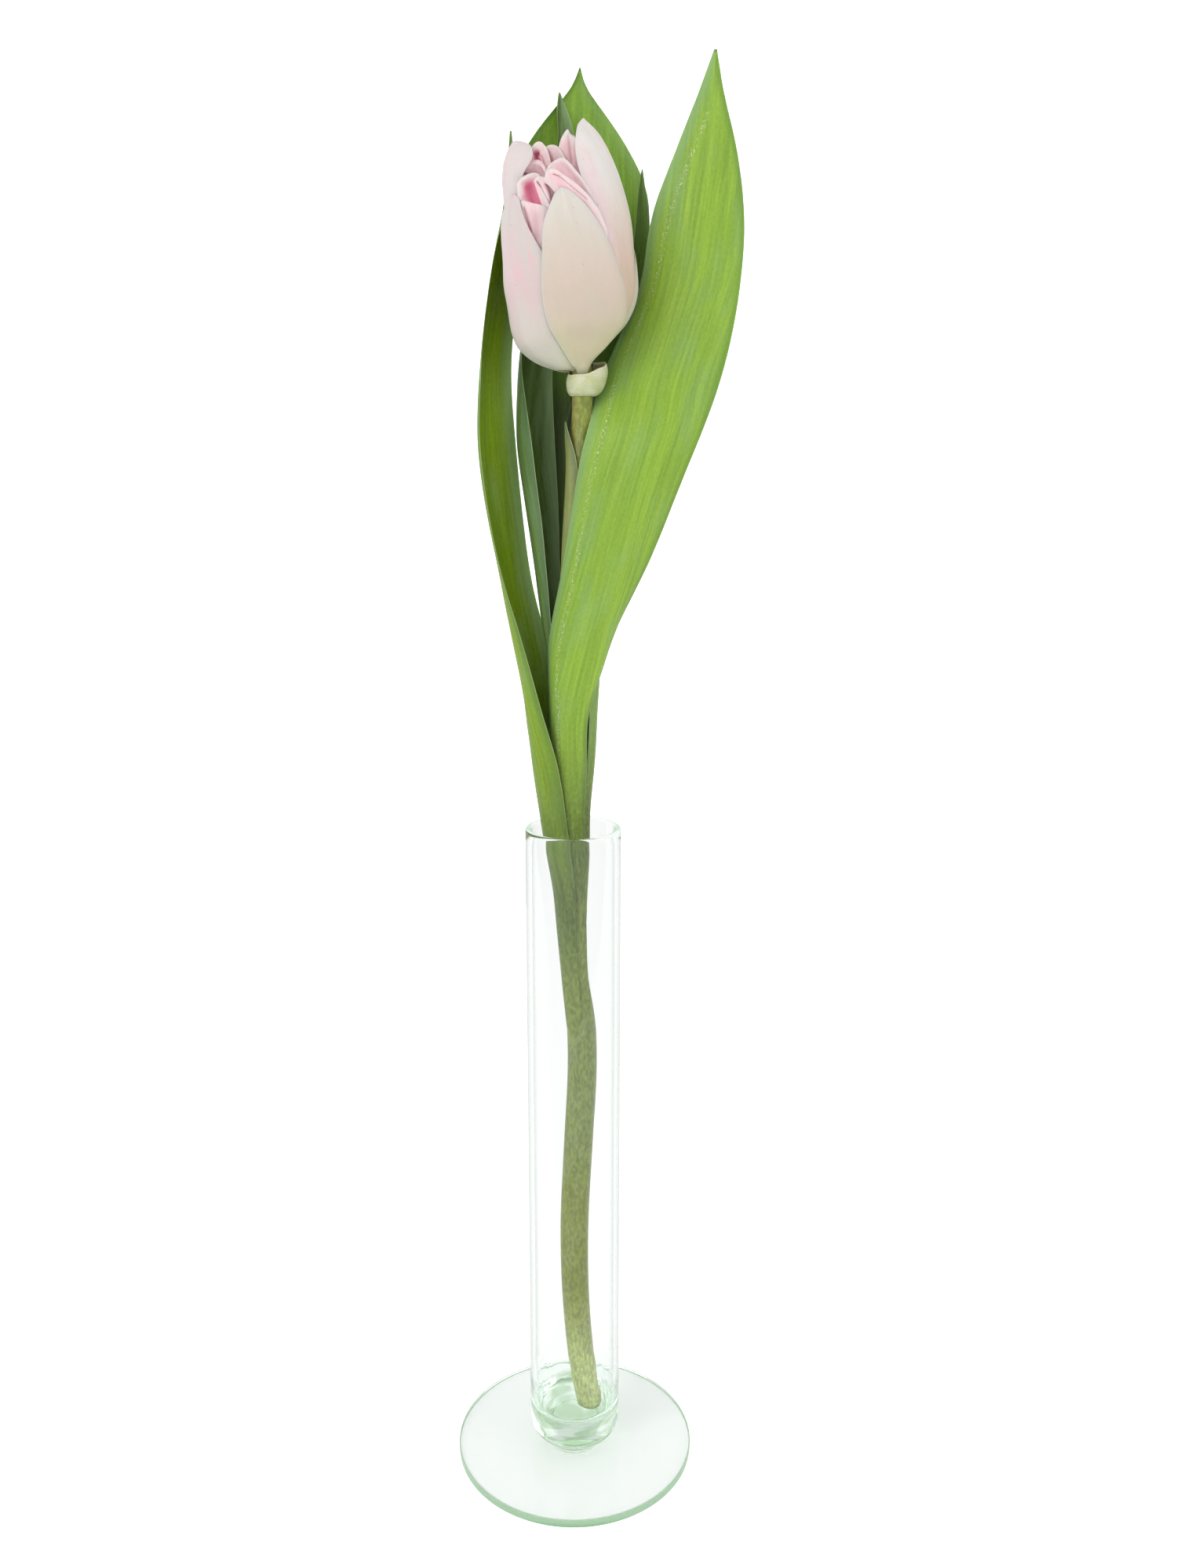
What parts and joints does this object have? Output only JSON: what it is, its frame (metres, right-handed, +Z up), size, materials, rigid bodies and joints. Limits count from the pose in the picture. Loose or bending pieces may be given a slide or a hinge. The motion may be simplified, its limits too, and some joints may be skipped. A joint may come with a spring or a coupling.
{
  "type": "tulip in vase",
  "caption": "Cut double tulip with its leaves, closed cream and pink bud, standing in a slim clear glass tube vase on a flat round foot.",
  "frame": {"origin": "centre of the underside of the vase's foot", "axes": "+Z up along the vase's tube, the flower's front faces -Y"},
  "size_m": [0.0902, 0.0806, 0.448],
  "materials": {
    "glass": "clear, faintly green soda glass, fire-polished",
    "stem_green": "smooth fresh stem, satin, with a waxy bloom",
    "leaf_green": "fresh leaf, satin, with fine parallel veins",
    "leaf_bloom": "fresh leaf under a blue-green waxy bloom, matt",
    "bract_cream": "pale green cream, smooth and satin",
    "petal_cream": "fresh petal, cream to blush, soft satin, slightly translucent",
    "petal_pink": "fresh petal, pink with paler margins, soft satin, slightly translucent",
    "pistil_green": "fresh, satin",
    "anther_yellow": "powdery, matt"
  },
  "bodies": {
    "root": {"vase_foot": "glass", "vase_tube": "glass", "stem": "stem_green", "leaf_right": "leaf_green", "leaf_left": "leaf_green", "leaf_back": "leaf_green", "leaf_folded": "leaf_bloom", "leaf_small": "leaf_bloom", "torn_leaf_stub": "leaf_bloom", "curled_bract": "bract_cream", "petal_front": "petal_cream", "petal_right": "petal_cream", "petal_front_left": "petal_cream", "petal_left": "petal_cream", "petal_back_right": "petal_cream", "petal_back_left": "petal_cream", "petal_back": "petal_cream", "inner_petal_01": "petal_pink", "inner_petal_02": "petal_pink", "inner_petal_03": "petal_pink", "inner_petal_04": "petal_pink", "inner_petal_05": "petal_pink", "inner_petal_06": "petal_pink", "inner_petal_07": "petal_pink", "inner_petal_08": "petal_pink", "inner_petal_09": "petal_pink", "inner_petal_10": "petal_pink", "inner_petal_11": "petal_pink", "inner_petal_12": "petal_pink", "pistil": "pistil_green", "stamen_1": "anther_yellow", "stamen_2": "anther_yellow", "stamen_3": "anther_yellow", "stamen_4": "anther_yellow", "stamen_5": "anther_yellow", "stamen_6": "anther_yellow"}
  },
  "joints": []
}
